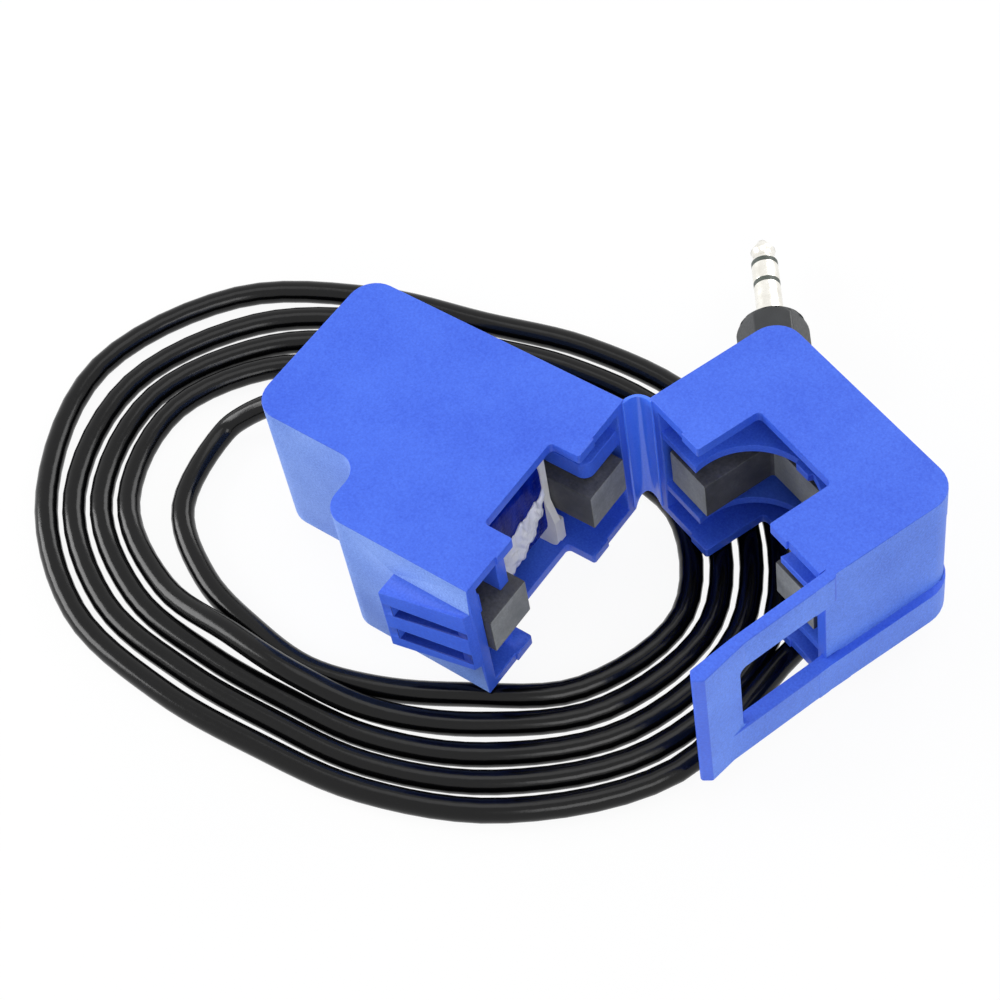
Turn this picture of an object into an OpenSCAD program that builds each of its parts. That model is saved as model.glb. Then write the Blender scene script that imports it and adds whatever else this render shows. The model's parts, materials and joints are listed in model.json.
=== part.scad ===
// Split-core current transformer with a hinged clip-on lid, a coil of
// two-core lead and a 3.5 mm stereo plug.
// Frame: +Z is up out of the conductor window, +X runs from the coil end
// of the case to its lid, and the origin is the middle of the closed window.
// Lengths are millimetres and angles are degrees.

/* [Case] */
// Height of the case along the window axis
case_h = 22; // [20:0.5:26]
// Width of the case over its hinge wall and its latch wall
case_w = 32; // [31:0.5:34]
// Length of the body from its mating edge to the lead end
body_len = 38; // [36:0.5:42]
// Length of the lid from its mating edge to its far wall
lid_len = 19.4; // [19:0.1:22]
// Gap between the mating edges of body and lid when it is clipped shut
mating_gap = 0.2; // [0.1:0.05:0.4]
// Thickness of the side walls
side_wall = 1.5; // [1.3:0.1:1.8]
// Thickness of the top and bottom covers
cover = 1.5; // [1.3:0.1:1.8]
// Side of the square conductor window
window = 13; // [12:0.5:13]
// Depth of the body's share of the window
body_notch = 4; // [3:0.5:4.5]
// Radius of the outer vertical corners
corner_r = 3.5; // [2:0.5:4]
// Length of the body's wide part, from its mating edge to the step
wide_len = 21.2; // [20:0.2:23]
// Depth of the step in the latch wall of the body
step_depth = 7.8; // [6:0.2:8.4]
// Radius of the two bends of the step
step_r = 3; // [2:0.5:3.5]
// How far the latch wall of the body sits inside the lid's
latch_inset = 1; // [0.9:0.1:1.2]

/* [Magnetic core] */
// Width of each leg of the U cores
leg_w = 6.8; // [6:0.1:6.9]
// Thickness of the cores along the window axis
core_h = 6; // [5:0.5:7]
// Distance of the inner leg faces from the middle of the window
leg_y = 6.6; // [6.5:0.1:6.8]
// How far the body's legs stand out of its mating edge
core_proud = 0.7; // [0.3:0.1:0.9]
// Air gap between the two cores when clipped shut
core_gap = 0.1; // [0.05:0.05:0.2]
// Distance of the body's core yoke behind the mating edge
yoke_back = 11; // [10.5:0.5:12]
// Thickness of the yokes along the length
yoke_t = 7; // [6:0.5:7]

/* [Coil] */
// Thickness of the bobbin flanges
flange_t = 1; // [0.8:0.1:1.1]
// Thickness of the bobbin tube
tube_t = 0.8; // [0.6:0.1:1]
// Thickness of the winding over the bobbin tube
winding_t = 4.2; // [3.5:0.1:4.3]
// Thickness of the tape over the winding
tape_t = 0.3; // [0.2:0.05:0.4]
// Radius of the corners of the winding
winding_r = 3; // [2:0.5:4]

/* [Latch] */
// Length of the wedge along the latch wall
wedge_len = 10.5; // [10:0.1:10.6]
// Height of the wedge off the latch wall at its far end
wedge_out = 3; // [2.4:0.1:3.2]
// Height of the wedge off the latch wall beside the mating edge
wedge_in = 0.8; // [0.6:0.1:0.9]
// Lower edge of the wedge above the case bottom
wedge_z = 5.7; // [5.7:0.1:6]
// Height of the wedge along the window axis
wedge_h = 11.1; // [10.6:0.1:11.1]
// Thickness of the strap
strap_t = 1.45; // [1.2:0.05:1.5]
// Gap between the strap and the latch wall
strap_gap = 0.15; // [0.1:0.05:0.2]
// Distance of the strap's bar behind the mating edge of the body
hook_x = 12.2; // [11.8:0.1:12.4]
// Corner radius of the hole in the strap
hole_r = 0.8; // [0.6:0.1:0.9]
// Width of the bar that hooks behind the wedge
hook_w = 6; // [5.5:0.1:6.3]
// How far the lip of the strap flares away from the case
lip_flare = 0.9; // [0.7:0.1:1.1]
// Lean of the strap away from the case
strap_lean = 2; // [1:0.5:3]

/* [Hinge] */
// Distance of the hinge axis from the hinge walls
hinge_out = 2.1; // [2:0.05:2.3]
// Radius of the lid's hinge bead
bead_r = 0.5; // [0.45:0.05:0.5]
// Running gap round the bead
bead_gap = 0.06; // [0.05:0.01:0.08]
// Thickness of the hinge leaves
leaf_t = 0.45; // [0.4:0.05:0.5]
// Height of the hinge's lower end above the case bottom
hinge_z = 2; // [1.5:0.5:3]

/* [Lead and plug] */
// Diameter of the lead
cable_d = 3; // [2.8:0.05:3.02]
// Diameter of the plug's pin
pin_d = 3.5; // [3.4:0.05:3.5]
// Length of the plug's pin
pin_len = 14; // [13.5:0.1:14.5]
// Diameter of the plug's handle
handle_d = 9.5; // [9:0.1:9.8]
// Length of the plug's handle without its strain relief
handle_len = 9.6; // [9:0.1:10]
// Length of the plug's strain relief
relief_len = 2.4; // [2.2:0.1:2.8]

/* [Hidden] */

$fn = 48;
arc_steps = 8;
// the lid stands open by this angle, and the case lies on its own lead
open_angle = 70;
lift = cable_d * 1.1;
floor_z = -case_h / 2 - lift;

half_w = case_w / 2;
latch_y = latch_inset - half_w;
narrow_y = latch_y + step_depth;
mating_x = body_notch - window / 2;
lid_far = mating_gap + lid_len;
lid_notch = window - body_notch;
core_z = (case_h - core_h) / 2;
leg_out = leg_y + leg_w;
yoke_far = yoke_back + yoke_t;
lid_leg_x = core_proud + core_gap;
lid_yoke_x = lid_notch + 1.7;
spring_x = lid_yoke_x + yoke_t - 0.2;
flange_y = leg_y - 0.2;
hinge_x = mating_gap / 2;
hinge_y = half_w + hinge_out;
loop_r = bead_r + bead_gap;
wedge_x = 1;
wedge_far = wedge_x + wedge_len;
strap_y = latch_y - strap_gap;
root_x = mating_gap + 1;
root_y = strap_y - strap_t / 2;
root_r = strap_t / 2;
ledge_z = wedge_z - 0.3;
band_z = wedge_z + wedge_h + 0.3;
ledge_out = 1;
foot_r = root_y + half_w + ledge_out;
band_out = 0.2;
// the mating edges are stepped back between here and the side walls
edge_step = 0.25;
step_y = window / 2 + 3.1;
// decks above and below the cores
deck_gap = 1.6;
deck_t = 1.2;
exit_y = 6.5;
exit_z = floor_z + 8.8;

case_blue = [0.16, 0.35, 0.85];
ferrite = [0.23, 0.23, 0.22];
cream = [0.78, 0.76, 0.68];
tape_blue = [0.05, 0.1, 0.45];
copper = [0.72, 0.38, 0.18];
black = [0.05, 0.05, 0.06];
metal = [0.8, 0.8, 0.78];

// ---- helpers --------------------------------------------------------------

function unit(v) = v / norm(v);
function flat(p) = [p[0], p[1]];
function at(pts, i) = pts[(i + len(pts)) % len(pts)];
function short_turn(a) = a > 180 ? a - 360 : a < -180 ? a + 360 : a;

// the arc of radius r that rounds corner c between points p and n
function corner(p, c, n, r) =
    let (u = unit(p - c), w = unit(n - c), half = acos(u * w) / 2,
         middle = c + unit(u + w) * r / sin(half),
         a = c + u * r / tan(half) - middle,
         b = c + w * r / tan(half) - middle,
         start = atan2(a[1], a[0]),
         turn = short_turn(atan2(b[1], b[0]) - start))
    [for (i = [0 : arc_steps])
        middle + r * [cos(start + turn * i / arc_steps),
                      sin(start + turn * i / arc_steps)]];

// points on a circle round the origin, from angle a to angle b
function arc(r, a, b) =
    [for (i = [0 : 2 * arc_steps])
        let (t = a + (b - a) * i / (2 * arc_steps))
        r * [cos(t), sin(t)]];

// an outline of [x, y, corner radius] as plain points
function rounded(pts) =
    [for (i = [0 : len(pts) - 1])
        each pts[i][2] <= 0 ? [flat(pts[i])]
            : corner(flat(at(pts, i - 1)), flat(pts[i]),
                     flat(at(pts, i + 1)), pts[i][2])];

// a round tube swept along the points of a route
function heading(route, i) =
    unit(route[min(i + 1, len(route) - 1)] - route[max(i - 1, 0)]);
function ring_point(route, d, i, t) =
    let (way = heading(route, i), a = unit(cross(way, [0, 0, 1])),
         b = cross(a, way))
    route[i] + d / 2 * (a * cos(t) + b * sin(t));

module tube(route, d, sides) {
    n = len(route);
    points = [for (i = [0 : n - 1], j = [0 : sides - 1])
        ring_point(route, d, i, 360 * j / sides)];
    walls = [for (i = [0 : n - 2], j = [0 : sides - 1])
        let (a = i * sides + j, b = i * sides + (j + 1) % sides)
        each [[a, b, b + sides], [a, b + sides, a + sides]]];
    first = [for (j = [sides - 1 : -1 : 0]) j];
    last = [for (j = [0 : sides - 1]) (n - 1) * sides + j];
    polyhedron(points, concat(walls, [first], [last]));
}

// case frame: x from the mating edge, y from the window, z from the bottom
module in_case() {
    translate([mating_x, 0, -case_h / 2])
        children();
}

// the lid is drawn closed and turned open round the hinge
module in_lid() {
    in_case()
        translate([hinge_x, hinge_y, 0])
            rotate([0, 0, open_angle])
                translate([-hinge_x, -hinge_y, 0])
                    children();
}

module in_strap() {
    in_lid()
        translate([root_x, root_y, 0])
            rotate([0, 0, strap_lean])
                translate([-root_x, -root_y, 0])
                    children();
}

module block(x0, x1, y0, y1, z0, z1) {
    translate([x0, y0, z0])
        cube([x1 - x0, y1 - y0, z1 - z0]);
}

module slab(pts, z0, z1) {
    translate([0, 0, z0])
        linear_extrude(z1 - z0)
            polygon(rounded(pts));
}

// ---- body -----------------------------------------------------------------

body_outline = [
    [-edge_step, half_w, 0],
    [-body_len, half_w, corner_r],
    [-body_len, narrow_y, corner_r],
    [-wide_len, narrow_y, step_r],
    [-wide_len, latch_y, step_r],
    [-edge_step, latch_y, 0],
    [-edge_step, -step_y, 0],
    [0, -step_y, 0],
    [0, -window / 2, 0.4],
    [-body_notch, -window / 2, 0.6],
    [-body_notch, window / 2, 0.6],
    [0, window / 2, 0.4],
    [0, step_y, 0],
    [-edge_step, step_y, 0]];

body_room = [
    [1, half_w - side_wall, 0],
    [side_wall - body_len, half_w - side_wall, corner_r - side_wall],
    [side_wall - body_len, narrow_y + side_wall, corner_r - side_wall],
    [side_wall - wide_len, narrow_y + side_wall, step_r + side_wall],
    [side_wall - wide_len, latch_y + side_wall, step_r - side_wall],
    [1, latch_y + side_wall, 0]];

// one rib of the wedge, with its lower and upper edge at both of its ends
module wedge_rib(low_near, high_near, low_far, high_far) {
    intersection() {
        slab([[-wedge_x, latch_y + 0.5, 0],
              [-wedge_x, latch_y - wedge_in, 0],
              [-wedge_far, latch_y - wedge_out, 0],
              [-wedge_far, latch_y + 0.5, 0]], 0, case_h);
        translate([0, latch_y + 1, wedge_z])
            rotate([90, 0, 0])
                linear_extrude(wedge_out + 2)
                    polygon([[-wedge_x, low_near],
                             [-wedge_x, high_near],
                             [-wedge_far, high_far],
                             [-wedge_far, low_far]]);
    }
}

module wedge() {
    // two ribs and a lower band, with the wall that the strap hooks behind
    wedge_rib(wedge_h - 3.4, wedge_h, wedge_h - 2.2, wedge_h);
    wedge_rib(wedge_h - 7.8, wedge_h - 4.5, wedge_h - 7, wedge_h - 4.4);
    wedge_rib(0, 1.2, 0, wedge_h - 9.1);
    slab([[-wedge_far, latch_y + 0.5, 0],
          [1.3 - wedge_far, latch_y + 0.5, 0],
          [1.3 - wedge_far, latch_y - wedge_out + 0.3, 0],
          [-wedge_far, latch_y - wedge_out, 0]], wedge_z, wedge_z + wedge_h);
    slab([[-wedge_x - 1.4, latch_y + 0.5, 0],
          [-wedge_x - 1.4, latch_y - wedge_in, 0],
          [-wedge_x, latch_y - wedge_in, 0],
          [-wedge_x + 0.5, latch_y + 0.5, 0]], wedge_z, wedge_z + wedge_h);
}

module body_shell() {
    color(case_blue)
        in_case()
            difference() {
                union() {
                    difference() {
                        slab(body_outline, 0, case_h);
                        slab(body_room, cover, case_h - cover);
                    }
                    wedge();
                    body_ribs();
                }
                // way out for the lead
                translate([-body_len - 1, exit_y, exit_z + case_h / 2])
                    rotate([0, 90, 0])
                        cylinder(d = cable_d + 0.1, h = side_wall + 2);
            }
}

// decks, ribs and posts that hold the core at the middle of the case
module body_ribs() {
    low = cover - 0.2;
    high = case_h - cover + 0.2;
    top = core_z + core_h;
    wall_in = half_w - side_wall + 0.1;
    // thick deck over the hinge-side leg, and its mate below
    slab([[-0.7, leg_y + 1.6, 1.4],
          [-0.7, wall_in, 0],
          [-yoke_back, wall_in, 0],
          [-yoke_back, leg_y + 1.6, 0.3]], top + 0.5, top + 3.3);
    slab([[-0.7, leg_y + 1.6, 1.4],
          [-0.7, wall_in, 0],
          [-yoke_back, wall_in, 0],
          [-yoke_back, leg_y + 1.6, 0.3]], core_z - 1.8, core_z - 0.5);
    for (z = [[top, top + 0.6], [core_z - 0.6, core_z]])
        block(-yoke_back, -3, leg_out - 3, leg_out - 1.5, z[0], z[1]);
    // two tabs at the latch side
    block(-yoke_back, -0.9, -leg_y - 2.6, -leg_y - 1, top, high);
    block(-yoke_back, -2, -leg_y - 2.6, -leg_y - 1, low, core_z);
    block(-3.2, -1, latch_y + side_wall - 0.2, latch_y + side_wall + 1,
          top + 0.2, high - 3);
    // two posts behind the yoke
    for (y = [-leg_out + 1, leg_out - 4])
        block(-yoke_far - 1.6, -yoke_far, y, y + 2.4, low, high);
    // a pair of cheeks for the lead
    for (y = [exit_y - cable_d / 2 - 1.1, exit_y + cable_d / 2 + 0.1])
        block(-body_len + 4.5, -body_len + 6, y, y + 1, low,
              exit_z + case_h / 2 + 1);
}

module body_core() {
    front = core_proud;
    color(ferrite)
        in_case()
            slab([[front, leg_y, 0],
                  [front, leg_out, 0],
                  [-yoke_far, leg_out, 0.5],
                  [-yoke_far, -leg_out, 0.5],
                  [front, -leg_out, 0],
                  [front, -leg_y, 0],
                  [-yoke_back, -leg_y, 0.5],
                  [-yoke_back, leg_y, 0.5]], core_z, core_z + core_h);
}

// ---- coil -----------------------------------------------------------------

tube_gap = 0.1;
flange_rear = 5.6;
tube_x0 = -yoke_far - tube_gap - tube_t;
tube_x1 = -yoke_back + tube_gap + tube_t;
tube_z0 = core_z - tube_gap - tube_t;
tube_z1 = core_z + core_h + tube_gap + tube_t;

// a square ring round the yoke, along y
module round_yoke(y0, y1, grow_in, grow_out, r_in, r) {
    difference() {
        translate([0, y1, 0])
            rotate([90, 0, 0])
                linear_extrude(y1 - y0)
                    polygon(rounded([
                        [tube_x0 - grow_out, tube_z0 - grow_out, r],
                        [tube_x1 + grow_out, tube_z0 - grow_out, r],
                        [tube_x1 + grow_out, tube_z1 + grow_out, r],
                        [tube_x0 - grow_out, tube_z1 + grow_out, r]]));
        translate([0, y1 + 1, 0])
            rotate([90, 0, 0])
                linear_extrude(y1 - y0 + 2)
                    polygon(rounded([
                        [tube_x0 - grow_in, tube_z0 - grow_in, r_in],
                        [tube_x1 + grow_in, tube_z0 - grow_in, r_in],
                        [tube_x1 + grow_in, tube_z1 + grow_in, r_in],
                        [tube_x0 - grow_in, tube_z1 + grow_in, r_in]]));
    }
}

module flange(y0, rear) {
    difference() {
        translate([0, y0 + flange_t, 0])
            rotate([90, 0, 0])
                linear_extrude(flange_t)
                    polygon(rounded([
                        [rear, cover + 0.1, 1],
                        [-body_notch - 0.4, cover + 0.1, 1.2],
                        [-body_notch - 0.4, core_z - 1.5, 1],
                        [-body_notch - 1.4, core_z + 2, 3],
                        [-body_notch - 1.4, case_h - cover - 0.1, 0.4],
                        [rear, case_h - cover - 0.1, 1]]));
        block(-yoke_far - tube_gap, -yoke_back + tube_gap, y0 - 1,
              y0 + flange_t + 1, core_z - tube_gap,
              core_z + core_h + tube_gap);
    }
}

module bobbin() {
    color(cream)
        in_case() {
            round_yoke(-flange_y + 0.2, flange_y - 0.2, -tube_t, 0, 0.2, 0.6);
            // the latch-side flange is shorter, to clear the step
            flange(-flange_y, side_wall - wide_len - 1.7);
            flange(flange_y - flange_t, -yoke_far - flange_rear);
            // thick feet of the flanges in front
            for (y = [-flange_y - 0.8, flange_y - 0.1])
                block(-body_notch - 2.4, -body_notch - 0.6, y, y + 0.9,
                      cover + 0.3, core_z - 2.2);
        }
}

module winding() {
    color(copper)
        in_case()
            round_yoke(-flange_y + flange_t, flange_y - flange_t, 0,
                       winding_t, 0.6, winding_r);
}

module winding_tape() {
    color(tape_blue)
        in_case()
            round_yoke(-flange_y + flange_t, flange_y - flange_t,
                       winding_t, winding_t + tape_t,
                       winding_r, winding_r + tape_t);
}

// a run of glue slanting down over the tape and along the latch-side leg
module glue_bead() {
    face = tube_x1 + winding_t + tape_t;
    color([0.85, 0.85, 0.95])
        in_case()
            translate([face, 0, 0])
                rotate([90, 0, 90])
                    linear_extrude(0.6)
                        polygon(rounded([
                            [flange_y - 1.1, case_h - 7.2, 0.4],
                            [flange_y - 2.6, case_h - 6.6, 0.6],
                            [flange_y - 3.6, case_h - 8.6, 0.6],
                            [1.6, case_h - 9.2, 0.5],
                            [-0.4, case_h - 11.4, 0.6],
                            [-2.4, case_h - 12, 0.6],
                            [-4.2, case_h - 14.6, 0.5],
                            [-5.3, case_h - 15.4, 0.2],
                            [-5.3, core_z - 3.4, 0.2],
                            [-3.4, core_z - 2.6, 0.6],
                            [-1.4, core_z - 0.6, 0.6],
                            [0.6, core_z + 0.4, 0.6],
                            [1.8, core_z + 2.4, 0.6],
                            [3.6, core_z + 3, 0.5],
                            [flange_y - 1.1, core_z + 5, 0.4]]));
}

// ---- inside wiring --------------------------------------------------------

lead_x = -body_len + 7;
wire_room = -yoke_far - flange_rear - lead_x;
joint_x = lead_x + wire_room * 0.22;
joint_len = wire_room * 0.47;
joint_d = 1.9;
lead_z = exit_z + case_h / 2;

module inner_lead() {
    color(black)
        in_case()
            translate([-body_len + side_wall + 0.05, exit_y, lead_z])
                rotate([0, 90, 0])
                    cylinder(d = cable_d, h = lead_x + body_len - side_wall - 0.05);
}

module lead_anchor() {
    color([0.9, 0.9, 0.88])
        in_case() {
            translate([-body_len + 2.6, exit_y, lead_z])
                rotate([0, 90, 0])
                    difference() {
                        cylinder(d = cable_d + 1.6, h = 1.8);
                        translate([0, 0, -1])
                            cylinder(d = cable_d, h = 4);
                    }
            block(-body_len + 2.7, -body_len + 4.3, exit_y - 1.3,
                  exit_y + 1.3, lead_z + cable_d / 2 + 0.4, lead_z + 3.6);
        }
}

module lead_joints() {
    color([0.75, 0.12, 0.1])
        in_case()
            for (s = [-1, 1])
                translate([joint_x, exit_y + s * 1.5, lead_z])
                    rotate([0, 90, 0])
                        cylinder(d = joint_d, h = joint_len, $fn = 24);
}

// stripped ends of the lead, and the ends of the winding
module coil_leads() {
    far = joint_x + joint_len;
    coil = tube_x0 - winding_t - tape_t;
    color(copper)
        in_case()
            for (s = [-1, 1]) {
                tube([[lead_x, exit_y + s * 0.7, lead_z],
                      [lead_x + 0.5, exit_y + s * 0.7, lead_z],
                      [joint_x - 0.4, exit_y + s * 1.5, lead_z],
                      [joint_x, exit_y + s * 1.5, lead_z]], 1, 12);
                tube([[far, exit_y + s * 1.5, lead_z],
                      [far + 0.4, exit_y + s * 1.5, lead_z],
                      [coil - 1.1, exit_y - 3.2 + s * 0.9, lead_z + 1],
                      [coil, exit_y - 3.2 + s * 0.9, lead_z + 1]], 0.6, 12);
            }
}

// its leads are soldered across the two joints
module suppressor_diode() {
    x = joint_x + joint_len / 2;
    z = lead_z + 3;
    near = 1.5 + joint_d / 2;
    color([0.12, 0.12, 0.12])
        in_case()
            translate([x, exit_y - 3, z])
                rotate([-90, 0, 0])
                    cylinder(d = 2.6, h = 6, $fn = 24);
    color(metal)
        in_case()
            for (s = [-1, 1])
                tube([[x, exit_y + s * 2.8, z],
                      [x, exit_y + s * 3.7, z],
                      [x, exit_y + s * 4.2, z - 0.5],
                      [x, exit_y + s * 4.2, lead_z + 0.5],
                      [x, exit_y + s * 3.7, lead_z],
                      [x, exit_y + s * near, lead_z]], 0.6, 12);
}

// ---- hinge ----------------------------------------------------------------

// the loop that holds the lid's bead, open towards the lid
module hinge_loop() {
    outer = loop_r + leaf_t;
    mouth = 40;
    color(case_blue)
        in_case()
            translate([hinge_x, hinge_y, hinge_z])
                linear_extrude(case_h - hinge_z)
                    polygon(concat(
                        [[-outer - 1, -hinge_out],
                         [-outer - 1, 0.2 - hinge_out],
                         [-outer, 0.2 - hinge_out]],
                        arc(outer, 180, mouth),
                        arc(loop_r, mouth, 180),
                        [[-loop_r, 0.2 - hinge_out],
                         [-hinge_x - 0.05, 0.2 - hinge_out],
                         [-hinge_x - 0.05, -hinge_out]]));
}

module hinge_flap() {
    color(case_blue)
        in_lid() {
            translate([hinge_x, hinge_y, hinge_z])
                cylinder(r = bead_r, h = case_h - hinge_z);
            block(hinge_x + bead_r - leaf_t, hinge_x + bead_r,
                  half_w, hinge_y, hinge_z, case_h);
            block(mating_gap + 0.05, hinge_x + bead_r + 1.5, half_w,
                  half_w + 0.2, hinge_z, case_h);
        }
}

// ---- lid ------------------------------------------------------------------

lid_outline = [
    [mating_gap + edge_step, half_w, 0],
    [mating_gap + edge_step, step_y, 0],
    [mating_gap, step_y, 0],
    [mating_gap, window / 2, 0.4],
    [lid_notch, window / 2, 0.6],
    [lid_notch, -window / 2, 0.6],
    [mating_gap, -window / 2, 0.4],
    [mating_gap, -step_y, 0],
    [mating_gap + edge_step, -step_y, 0],
    [mating_gap + edge_step, -half_w, 0],
    [lid_far, -half_w, corner_r],
    [lid_far, half_w, corner_r]];

lid_room = [
    [-1, side_wall - half_w, 0],
    [lid_far - side_wall, side_wall - half_w, corner_r - side_wall],
    [lid_far - side_wall, half_w - side_wall, corner_r - side_wall],
    [-1, half_w - side_wall, 0]];

// inner deck with a round cut for the conductor
module lid_deck(z0) {
    middle = lid_notch - window / 2;
    bow_r = window / 2 + 1.6;
    z1 = z0 + deck_t;
    difference() {
        block(mating_gap + 0.4, lid_far - side_wall + 0.1,
              side_wall - half_w - 0.1, half_w - side_wall + 0.1, z0, z1);
        translate([middle, 0, z0 - 1])
            cylinder(r = bow_r, h = deck_t + 2);
        block(-1, middle, -window / 2, window / 2, z0 - 1, z1 + 1);
    }
    // small catch in the middle of the round cut
    slab([[middle + bow_r - 0.7, -1.1, 0],
          [middle + bow_r - 0.7, 1.1, 0],
          [middle + bow_r + 0.6, 1.7, 0],
          [middle + bow_r + 0.6, -1.7, 0]], z0, z1);
}

// pads between the decks and the core
module lid_pads(z0) {
    for (y = [-leg_out + 1.5, leg_out - 3])
        block(lid_leg_x + 2, lid_yoke_x + 4, y, y + 1.5, z0, z0 + deck_gap);
}

module lid_shell() {
    top = core_z + core_h;
    color(case_blue)
        in_lid()
            difference() {
                union() {
                    difference() {
                        slab(lid_outline, 0, case_h);
                        slab(lid_room, cover, case_h - cover);
                    }
                    lid_deck(core_z - deck_gap - deck_t);
                    lid_deck(top + deck_gap);
                    lid_pads(core_z - deck_gap);
                    lid_pads(top);
                    // ledge along the foot of the latch wall
                    lid_ledge(ledge_out, 0, ledge_z);
                    // slightly proud band along its top
                    lid_ledge(band_out, band_z, case_h);
                }
                strap_seat(0, ledge_z + 0.1);
                foot_round(foot_r + 0.05, root_y, -0.01, ledge_z + 0.1);
                strap_seat(band_z - 0.1, case_h);
            }
}

// a ledge along the latch wall, carried round the lid's far corner
module lid_ledge(out, z0, z1) {
    difference() {
        slab([[root_x + 0.1, 1 - half_w, 0],
              [root_x + 0.1, -half_w - out, 0],
              [lid_far, -half_w - out, corner_r + out],
              [lid_far, corner_r + 1 - half_w, 0],
              [lid_far - 1, corner_r + 1 - half_w, 0],
              [lid_far - corner_r, 1 - half_w, 0]], z0, z1);
        slab(lid_room, cover, case_h - cover);
    }
}

// rebate in the latch wall where the root of the strap turns
module strap_seat(z0, z1) {
    translate([root_x, root_y, z0 - 0.01])
        cylinder(r = root_r + 0.05, h = z1 - z0 + 0.02);
    block(-1, root_x, -case_w, strap_y + 0.05, z0 - 0.01, z1 + 0.01);
}

module lid_core() {
    far = lid_yoke_x + yoke_t - 0.2;
    color(ferrite)
        in_lid()
            slab([[lid_leg_x, leg_y, 0],
                  [lid_yoke_x, leg_y, 0.5],
                  [lid_yoke_x, -leg_y, 0.5],
                  [lid_leg_x, -leg_y, 0],
                  [lid_leg_x, -leg_out, 0],
                  [far, -leg_out, 0.5],
                  [far, leg_out, 0.5],
                  [lid_leg_x, leg_out, 0]], core_z, core_z + core_h);
}

module core_spring() {
    bow = lid_far - side_wall - spring_x;
    spring_y = leg_out - 4.4;
    color(metal)
        in_lid()
            slab([[spring_x, -2, 0],
                  [spring_x, 2, 0],
                  [spring_x + bow - 0.15, spring_y, 0],
                  [spring_x + bow, spring_y, 0],
                  [spring_x + 0.15, 2.2, 0],
                  [spring_x + 0.15, -2.2, 0],
                  [spring_x + bow, -spring_y, 0],
                  [spring_x + bow - 0.15, -spring_y, 0]],
                 core_z + 1.5, core_z + core_h - 1.5);
}

// ---- strap ----------------------------------------------------------------

module latch_strap() {
    tip = -hook_x - hook_w;
    back = strap_y - strap_t;
    color(case_blue)
        in_strap()
            difference() {
                union() {
                    // round root in the rebate of the lid
                    translate([root_x, root_y, 0])
                        cylinder(r = root_r, h = case_h);
                    // flat strap, with the flared lip past the wedge
                    slab([[root_x, strap_y, 0],
                          [root_x, back, 0],
                          [-hook_x + 1, back, 4],
                          [tip + 0.6, back - lip_flare, 0.4],
                          [tip - 0.5, back - lip_flare + 0.9, 0.4],
                          [tip + 0.3, strap_y - lip_flare + 0.6, 0],
                          [-hook_x, strap_y, 4]], 0, case_h);
                    // its foot carries on the ledge of the lid
                    foot_round(foot_r, root_y - 0.3, 0, ledge_z);
                    slab([[root_x, back + 0.2, 0],
                          [root_x, root_y - foot_r, 0],
                          [-hook_x - 0.2, -half_w - ledge_out, 0],
                          [-hook_x - 1.2, back + 0.2, 0]], 0, ledge_z);
                }
                strap_hole();
            }
}

// half round below the root, level with the ledge of the lid
module foot_round(r, y, z0, z1) {
    intersection() {
        translate([root_x, root_y, z0])
            cylinder(r = r, h = z1 - z0);
        block(root_x - 2 * r, root_x + 2 * r, root_y - 2 * r, y, z0, z1);
    }
}

// the hole that takes the wedge, open at the root
module strap_hole() {
    translate([0, -half_w + 4, 0])
        rotate([90, 0, 0])
            linear_extrude(8)
                polygon(rounded([[-hook_x, ledge_z, hole_r],
                                 [root_x + 2, ledge_z, 0],
                                 [root_x + 2, band_z, 0],
                                 [-hook_x, band_z, hole_r]]));
}

// ---- lead -----------------------------------------------------------------

// The coil of lead lies round this point. Each row is one turn, given by
// its distance from the point at equal steps of angle from the lead end.
coil_x = -27;
coil_y = -1;
turn_step = 24;
low_z = cable_d / 2;
turns = [
    [29, 28.8, 25, 22.3, 22.2, 22.8, 25.6, 33, 37.6, 34.3, 25, 18.2, 18.2,
     23.5, 32],
    [37.4, 36.2, 30.2, 25.2, 24.6, 26.2, 30, 37, 41.2, 38.4, 31.8, 27.5,
     26.5, 30, 36.2],
    [41.2, 39.9, 34, 28.5, 27, 29.6, 34.4, 41.1, 44.8, 42.3, 36.8, 32, 30.2,
     34.2, 40.7],
    [45.3, 43.6, 37.9, 32, 30.3, 33.1, 38.3, 45, 48.4, 45.8, 41, 36, 34,
     38.4, 46.5],
    [51, 47.4, 41.8, 35.8, 33.8, 36.6, 42.2, 48.8, 51.8]];
// where the second turn climbs over the first
climb = [0, 0, 0.4, 2.2, 2.4, 0.6];

function turn_z(k, i) =
    low_z + (k == 1 && i < len(climb) ? climb[i] : 0)
    + (k == 0 && i == 0 ? 0.5 : 0);

cable_exit = mating_x - body_len;
plug_turn = 127.3;
plug_dip = 0;
plug_way = [cos(plug_turn) * cos(plug_dip), sin(plug_turn) * cos(plug_dip),
            -sin(plug_dip)];
// the tip touches the surface
plug_at = [-3.52, 48.35, floor_z + handle_d / 2 * cos(30)];
plug_rear = plug_at - plug_way * (handle_len + relief_len);

// heights above the floor
start_part = [
    [cable_exit, exit_y, 8.8],
    [cable_exit - 4.5, exit_y, 8.2],
    [cable_exit - 9.5, exit_y - 1.5, 6],
    [-54.2, 1.8, 3.6]];
end_part = [
    [25.8, 17.5, low_z],
    [26.8, 24.5, low_z],
    [25.6, 30, low_z],
    [22.8, 33, low_z],
    [19.3, 34.9, low_z + 0.1],
    [15.8, 35.8, low_z + 0.4],
    [12.4, 36.15, low_z + 1],
    [9.6, 36.25, low_z + 1.7],
    [8, 36.32, low_z + 2.1],
    [6.6, 36.64, low_z + 2.4],
    [5.3, 37.25, 4.1]];

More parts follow.
